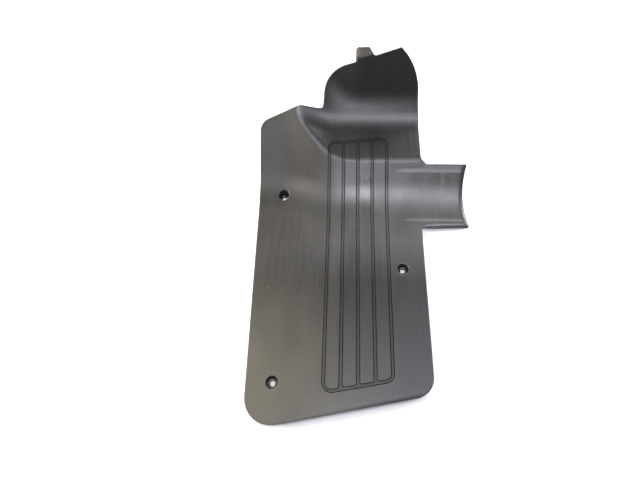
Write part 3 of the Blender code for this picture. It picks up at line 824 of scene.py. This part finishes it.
def cup_and_boss(skin, place):
    """A cup, its bore and its boss. Gives the ring of its mouth and the ring of its root underneath."""
    cup = CUP_DIAMETER / 2.0
    bore = FERRULE_SLEEVE / 2.0
    boss = BOSS_DIAMETER / 2.0
    foot = -BOSS_HEIGHT
    rings = [skin.ring(place, cup + MOUTH_ROUND + RIM_HOLD, below_sheet(0.0))]
    for turn in quarter_turn():
        drop = MOUTH_ROUND * (1.0 - math.cos(turn))
        radius = cup + MOUTH_ROUND * (1.0 - math.sin(turn))
        rings.append(skin.ring(place, radius, below_sheet(drop), CUP_MOUTH_RUBBED))
    for turn in quarter_turn():
        radius = cup - CUP_DRAFT - CUP_FLOOR_ROUND * (1.0 - math.cos(turn))
        height = -CUP_DEPTH + CUP_FLOOR_ROUND * (1.0 - math.sin(turn))
        rings.append(skin.ring(place, radius, at_level(height)))
    for radius, height in (
        (bore + CHAMFER, -CUP_DEPTH),
        (bore, -CUP_DEPTH - CHAMFER),
        (bore, foot + CHAMFER),
        (bore + CHAMFER, foot),
        (boss - CHAMFER, foot),
        (boss, foot + CHAMFER),
    ):
        rings.append(skin.ring(place, radius, at_level(height)))
    for turn in reversed(quarter_turn()):
        drop = SHEET_THICKNESS + ROOT_ROUND * (1.0 - math.cos(turn))
        radius = boss + ROOT_ROUND * (1.0 - math.sin(turn))
        rings.append(skin.ring(place, radius, below_sheet(drop)))
    skin.bridge(rings)
    return rings[0], rings[-1]


# ---------------------------------------------------------------- pieces

def pocket_outline(number):
    left = strip_left(number) - STRIP_GAP
    right = left + STRIP_WIDTH + 2.0 * STRIP_GAP
    return tread_outline(left, right, BAR_WIDTH - STRIP_GAP, strip_radii(number, STRIP_GAP))


def make_panel(offset, material):
    skin = Skin(offset)
    rim_top, rim_bottom = skin.edge(panel_outline(), rim_profile(SHEET_THICKNESS, RIM_ROUND, RIM_RUB_AND_HIGHLIGHT))
    tread = tread_outline(TREAD_LEFT_X, TREAD_LEFT_X + TREAD_WIDTH, 0.0, [TREAD_CORNER_RADIUS] * 4)
    groove_outside, groove_inside = skin.edge(tread, groove_profile())
    pockets = [skin.edge(pocket_outline(number), pocket_profile()) for number in range(STRIP_COUNT)]
    cups = [cup_and_boss(skin, place) for place in CUP_PLACES.values()]
    skin.fill([rim_top, groove_outside] + [mouth for mouth, _ in cups], 0.0, GRID_SPACING)
    # the bars: duller, and a little darker as painted shade
    skin.fill([groove_inside] + [mouth for mouth, _ in pockets], 0.0, GRID_SPACING, BARS_DULLED_AND_SHADED)
    for _, floor in pockets:
        skin.fill([floor], -TREAD_DEPTH, HIDDEN_SPACING)
    skin.fill([rim_bottom] + [root for _, root in cups], -SHEET_THICKNESS, HIDDEN_SPACING)
    return skin.to_object("moulded_panel", material)


def make_strip(number, offset, material):
    left = strip_left(number)
    outline = tread_outline(left, left + STRIP_WIDTH, BAR_WIDTH, strip_radii(number, 0.0))
    skin = Skin(offset)
    # the strips' rounded edges and sides are painted half dark, as shade
    profile = rim_profile(TREAD_DEPTH - CLEARANCE, STRIP_ROUND, STRIP_RIM_SHADE)
    top, bottom = skin.edge(outline, profile)
    skin.fill([top], 0.0, GRID_SPACING)
    skin.fill([bottom], CLEARANCE - TREAD_DEPTH, HIDDEN_SPACING)
    return skin.to_object("tread_strip_%d_fine" % (number + 1), material)


def ferrule_profile():
    """(radius, height) round the ferrule's section, from the bore over the head and down the sleeve."""
    bore = FERRULE_BORE / 2.0
    sleeve = FERRULE_SLEEVE / 2.0 - CLEARANCE
    head = FERRULE_HEAD / 2.0
    seat = -CUP_DEPTH + CLEARANCE
    top = seat + FERRULE_HEAD_HEIGHT
    foot = -BOSS_HEIGHT + CLEARANCE
    return [
        (bore, top - CHAMFER),
        (bore + CHAMFER, top),
        (head - CHAMFER, top),
        (head, top - CHAMFER),
        (head, seat),
        (sleeve, seat),
        (sleeve, foot + CHAMFER),
        (sleeve - CHAMFER, foot),
        (bore + CHAMFER, foot),
        (bore, foot + CHAMFER),
    ]


def make_ferrule(name, place, offset, material):
    """A shouldered sleeve. Its pattern attribute is measured from its own axis."""
    skin = Skin(offset + Vector((place.x, place.y, 0.0)))
    rings = []
    for radius, height in ferrule_profile():
        ring = []
        for segment in range(ROUND_SEGMENTS):
            turn = 2.0 * math.pi * segment / ROUND_SEGMENTS
            point = Vector((radius * math.cos(turn), radius * math.sin(turn), height))
            ring.append(skin.add(point, point, 0.0))
        rings.append(ring)
    skin.bridge(rings + rings[:1])
    return skin.to_object(name, material)


def frame_offset():
    """From the part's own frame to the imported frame, by one ferrule's place in both."""
    low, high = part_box("screw_ferrule_right")
    place = CUP_PLACES["right"]
    top = -CUP_DEPTH + CLEARANCE + FERRULE_HEAD_HEIGHT
    return Vector(((low.x + high.x) / 2.0 - place.x, (low.y + high.y) / 2.0 - place.y, high.z - top))


# ---------------------------------------------------------------- materials

def node(tree, kind, inputs, **settings):
    """Adds a shader node. Each input is a value or the output of another node."""
    made = tree.nodes.new("ShaderNode" + kind)
    for name, value in settings.items():
        setattr(made, name, value)
    connect(tree, made, inputs)
    return made


def connect(tree, shader, inputs):
    """Sets each input of a node to a value, or links it to another node's output."""
    for name, value in inputs.items():
        if isinstance(value, bpy.types.NodeSocket):
            tree.links.new(value, shader.inputs[name])
        else:
            shader.inputs[name].default_value = value


def calculate(tree, operation, first, second=0.0):
    return node(tree, "Math", {0: first, 1: second}, operation=operation).outputs["Value"]


def times(tree, first, second):
    return calculate(tree, "MULTIPLY", first, second)


def spread(tree, value, start, end, low, high):
    """Carries start..end of a value onto low..high, and holds it there beyond."""
    made = node(tree, "MapRange", {
        "Value": value, "From Min": start, "From Max": end, "To Min": low, "To Max": high})
    return made.outputs["Result"]


def tint(tree, amount, first, second):
    """A colour between two others."""
    return node(tree, "MixRGB", {"Fac": amount, "Color1": first, "Color2": second}).outputs["Color"]


def grey(level, warmth=0.0):
    """A grey, leaning towards brown as warmth grows."""
    return (level * (1.0 + warmth), level, level * (1.0 - warmth), 1.0)


def pattern(tree):
    return node(tree, "Attribute", {}, attribute_name="pattern").outputs["Vector"]


def pattern_part(tree, axis):
    """How far across (X) or along (Y) the pattern the shaded point is."""
    return node(tree, "SeparateXYZ", {"Vector": pattern(tree)}).outputs[axis]


def cloud(tree, across, along, detail, low, high):
    """Noise over the pattern from low to high. Its patches have the given size across and along."""
    size = (1.0 / across, 1.0 / along, 1.0)
    place = node(tree, "VectorMath", {0: pattern(tree), 1: size}, operation="MULTIPLY").outputs["Vector"]
    made = node(tree, "TexNoise", {"Vector": place, "Scale": 1.0, "Detail": detail})
    return spread(tree, made.outputs["Fac"], *NOISE_RANGE, low, high)


def scratches(tree):
    """Fine lines along the pattern, up to 1 on a line and 0 off it, broken up into short lengths."""
    lines = calculate(tree, "ABSOLUTE", cloud(tree, *SCRATCH_LINES))
    fine = spread(tree, lines, 0.0, SCRATCH_FINENESS, 1.0, 0.0)
    return times(tree, fine, cloud(tree, *SCRATCH_BREAKS))


def new_material(name):
    material = bpy.data.materials.new(name)
    material.use_nodes = True
    tree = material.node_tree
    return material, tree, tree.nodes["Principled BSDF"]


def dusty_foot(tree):
    """1 at the foot of the panel and 0 above it."""
    return spread(tree, pattern_part(tree, "Y"), *DUST_ALONG, 0.0, 1.0)


def settled_dust(tree):
    """More dust towards the foot and the left of the panel, in soft patches."""
    left = spread(tree, pattern_part(tree, "X"), *DUST_ACROSS, 0.0, 1.0)
    return times(tree, times(tree, dusty_foot(tree), left), cloud(tree, *DUST_PATCHES))


def moulded_grain(tree):
    """The fine grain of the mould with its faint drag lines, as a surface normal."""
    height = calculate(tree, "ADD", cloud(tree, *FINE_GRAIN), cloud(tree, *DRAG_LINES))
    bump = node(tree, "Bump", {"Height": height, "Strength": GRAIN_STRENGTH, "Distance": GRAIN_HEIGHT})
    return bump.outputs["Normal"]


def band_along(tree, centre, full, end):
    """1 within a distance of a line across the pattern, fading to 0 at a greater one."""
    away = calculate(tree, "ABSOLUTE", calculate(tree, "SUBTRACT", pattern_part(tree, "Y"), centre))
    return spread(tree, away, full, end, 1.0, 0.0)


def heel_polish(tree, polish):
    """How much smoother shoes have rubbed the plastic around the foot bend."""
    amount = band_along(tree, POLISH_CENTRE, POLISH_FULL, POLISH_END)
    return times(tree, times(tree, amount, cloud(tree, *POLISH_MOTTLING)), polish)


def scuff_haze_and_sheen(tree):
    """Grey haze of fine scuffs below and over the foot bend, in soft patches, which also paints in a sheen
    of light there.
    """
    amount = band_along(tree, HAZE_CENTRE, HAZE_FULL, HAZE_END)
    share = spread(tree, pattern_part(tree, "X"), *HAZE_ACROSS, HAZE_LEFT_SHARE, 1.0)
    return times(tree, times(tree, amount, share), cloud(tree, *HAZE_PATCHES))


def scuffed_plastic(name, level, roughness, dustiness, polish):
    """Satin black moulded plastic with dust, drag streaks, scratches and rubbed rims, and painted light:
    highlights on the crease, the flange's rim and the foot bend, and shade in the grooves and on the bars.
    """
    material, tree, shader = new_material(name)
    streaks = cloud(tree, *STREAKS)
    wear_and_painted_light = node(tree, "Attribute", {}, attribute_name="wear_and_painted_light").outputs["Fac"]
    # pale where rims and cup mouths are rubbed, and painted highlights on the crease and the flange's rim
    rubbed_and_highlit = times(tree, spread(tree, wear_and_painted_light, 0.0, RIM_RUB_AND_HIGHLIGHT, 0.0, 1.0), cloud(tree, *RUB_AND_HIGHLIGHT_PATCHES))
    # painted shade: black in the grooves and round the strips, and a little on the bars
    painted_shade = spread(tree, wear_and_painted_light, 0.0, GROOVE_SHADE, 0.0, 1.0)
    dark = grey(level * (1.0 - STREAK_CONTRAST))
    pale = grey(level * (1.0 + STREAK_CONTRAST))
    colour = tint(tree, streaks, dark, pale)
    # scuff haze, and also a painted sheen over the foot bend
    colour = tint(tree, scuff_haze_and_sheen(tree), colour, grey(HAZE_AND_SHEEN_LEVEL))
    colour = tint(tree, times(tree, settled_dust(tree), dustiness), colour, DUST_COLOUR)
    # rubbing and painted highlight, pale
    colour = tint(tree, times(tree, rubbed_and_highlit, RUB_AND_HIGHLIGHT_COVER), colour, grey(RUB_AND_HIGHLIGHT_LEVEL))
    colour = tint(tree, times(tree, scratches(tree), SCRATCH_COVER), colour, grey(SCRATCH_LEVEL))
    # painted shade, nearly black
    colour = tint(tree, painted_shade, colour, grey(GROOVE_SHADE_LEVEL))
    uneven = spread(tree, streaks, 0.0, 1.0, -STREAK_ROUGHNESS, STREAK_ROUGHNESS)
    rough = calculate(tree, "ADD", cloud(tree, *ROUGHNESS_PATCHES), roughness)
    rough = calculate(tree, "ADD", rough, uneven)
    rough = calculate(tree, "SUBTRACT", rough, heel_polish(tree, polish))
    shine = spread(tree, dusty_foot(tree), 0.0, 1.0, SHINE_LEVEL, DUSTY_SHINE_LEVEL)
    # the painted shade loses its shine too
    shine = times(tree, shine, spread(tree, painted_shade, 0.0, 1.0, 1.0, 0.0))
    connect(tree, shader, {
        "Base Color": colour,
        "Roughness": rough,
        "Specular IOR Level": shine,
        "Normal": moulded_grain(tree)})
    return material


def plated_steel(name):
    """Dark plated steel with the fine rings left by turning."""
    material, tree, shader = new_material(name)
    scale = 2.0 * math.pi / (WAVE_TURN * TURNING_PITCH)
    rings = node(
        tree, "TexWave", {"Vector": pattern(tree), "Scale": scale, "Distortion": TURNING_WAVER},
        wave_type="RINGS", rings_direction="Z")
    bump = node(tree, "Bump", {
        "Height": rings.outputs["Fac"], "Strength": TURNING_STRENGTH, "Distance": TURNING_HEIGHT})
    patches = cloud(tree, *STEEL_PATCHES)
    connect(tree, shader, {
        "Base Color": tint(tree, patches, grey(STEEL_DARK_LEVEL), grey(STEEL_PALE_LEVEL, STEEL_WARMTH)),
        "Roughness": spread(tree, patches, 0.0, 1.0, *STEEL_ROUGHNESS),
        "Metallic": 1.0,
        "Normal": bump.outputs["Normal"]})
    return material


def floor_paint(name):
    material, tree, shader = new_material(name)
    connect(tree, shader, {"Base Color": grey(FLOOR_LEVEL), "Roughness": FLOOR_ROUGHNESS})
    return material


# ---------------------------------------------------------------- the studio

def make_floor():
    mesh = bpy.data.meshes.new("floor")
    side = FLOOR_SIDE / 2.0
    corners = [(-side, -side, 0.0), (side, -side, 0.0), (side, side, 0.0), (-side, side, 0.0)]
    mesh.from_pydata(corners, [], [(0, 1, 2, 3)])
    mesh.materials.append(floor_paint("floor_paint"))
    floor = bpy.data.objects.new("floor", mesh)
    bpy.context.scene.collection.objects.link(floor)


def make_camera():
    data = bpy.data.cameras.new("camera")
    data.lens = CAMERA_LENS
    data.sensor_width = CAMERA_SENSOR
    data.clip_start = CAMERA_NEAR
    camera = bpy.data.objects.new("camera", data)
    bpy.context.scene.collection.objects.link(camera)
    camera.location = CAMERA_PLACE
    camera.rotation_mode = "QUATERNION"
    aim = (CAMERA_TARGET - CAMERA_PLACE).to_track_quat("-Z", "Y")
    camera.rotation_quaternion = aim @ Quaternion((0.0, 0.0, 1.0), CAMERA_ROLL)
    bpy.context.scene.camera = camera


def make_light(name, direction, size, power, colour):
    """A soft rectangle of light at the studio's light distance, facing the origin."""
    data = bpy.data.lights.new(name, "AREA")
    data.shape = "RECTANGLE"
    data.size, data.size_y = size
    data.energy = power
    data.color = colour
    light = bpy.data.objects.new(name, data)
    bpy.context.scene.collection.objects.link(light)
    towards = Vector(direction).normalized()
    light.location = towards * LIGHT_DISTANCE
    light.rotation_mode = "QUATERNION"
    light.rotation_quaternion = (-towards).to_track_quat("-Z", "Y")


def make_world():
    world = bpy.data.worlds.new("studio")
    bpy.context.scene.world = world
    world.use_nodes = True
    world.node_tree.nodes["Background"].inputs["Strength"].default_value = WORLD_STRENGTH


def show(item, node_name):
    """Puts a fine piece in the place of its CAD node."""
    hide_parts(node_name)
    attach(item, "root")


def make_pieces():
    offset = frame_offset()
    plastic = scuffed_plastic(
        "scuffed_plastic", PANEL_LEVEL, PANEL_ROUGHNESS, PANEL_DUSTINESS, PANEL_POLISH)
    show(make_panel(offset, plastic), "panel_moulding")
    for number, polish in enumerate(STRIP_POLISH):
        name = "polished_plastic_%d" % (number + 1)
        polished = scuffed_plastic(name, STRIP_LEVEL, STRIP_ROUGHNESS, STRIP_DUSTINESS, polish)
        show(make_strip(number, offset, polished), "tread_strip_%d" % (number + 1))
    steel = plated_steel("plated_steel")
    for name, place in CUP_PLACES.items():
        ferrule = make_ferrule("ferrule_%s_fine" % name, place, offset, steel)
        show(ferrule, "screw_ferrule_" + name)


def main():
    make_pieces()
    make_floor()
    make_camera()
    for light in LIGHTS:
        make_light(*light)
    make_world()
    bpy.context.scene.view_settings.view_transform = "Standard"


main()
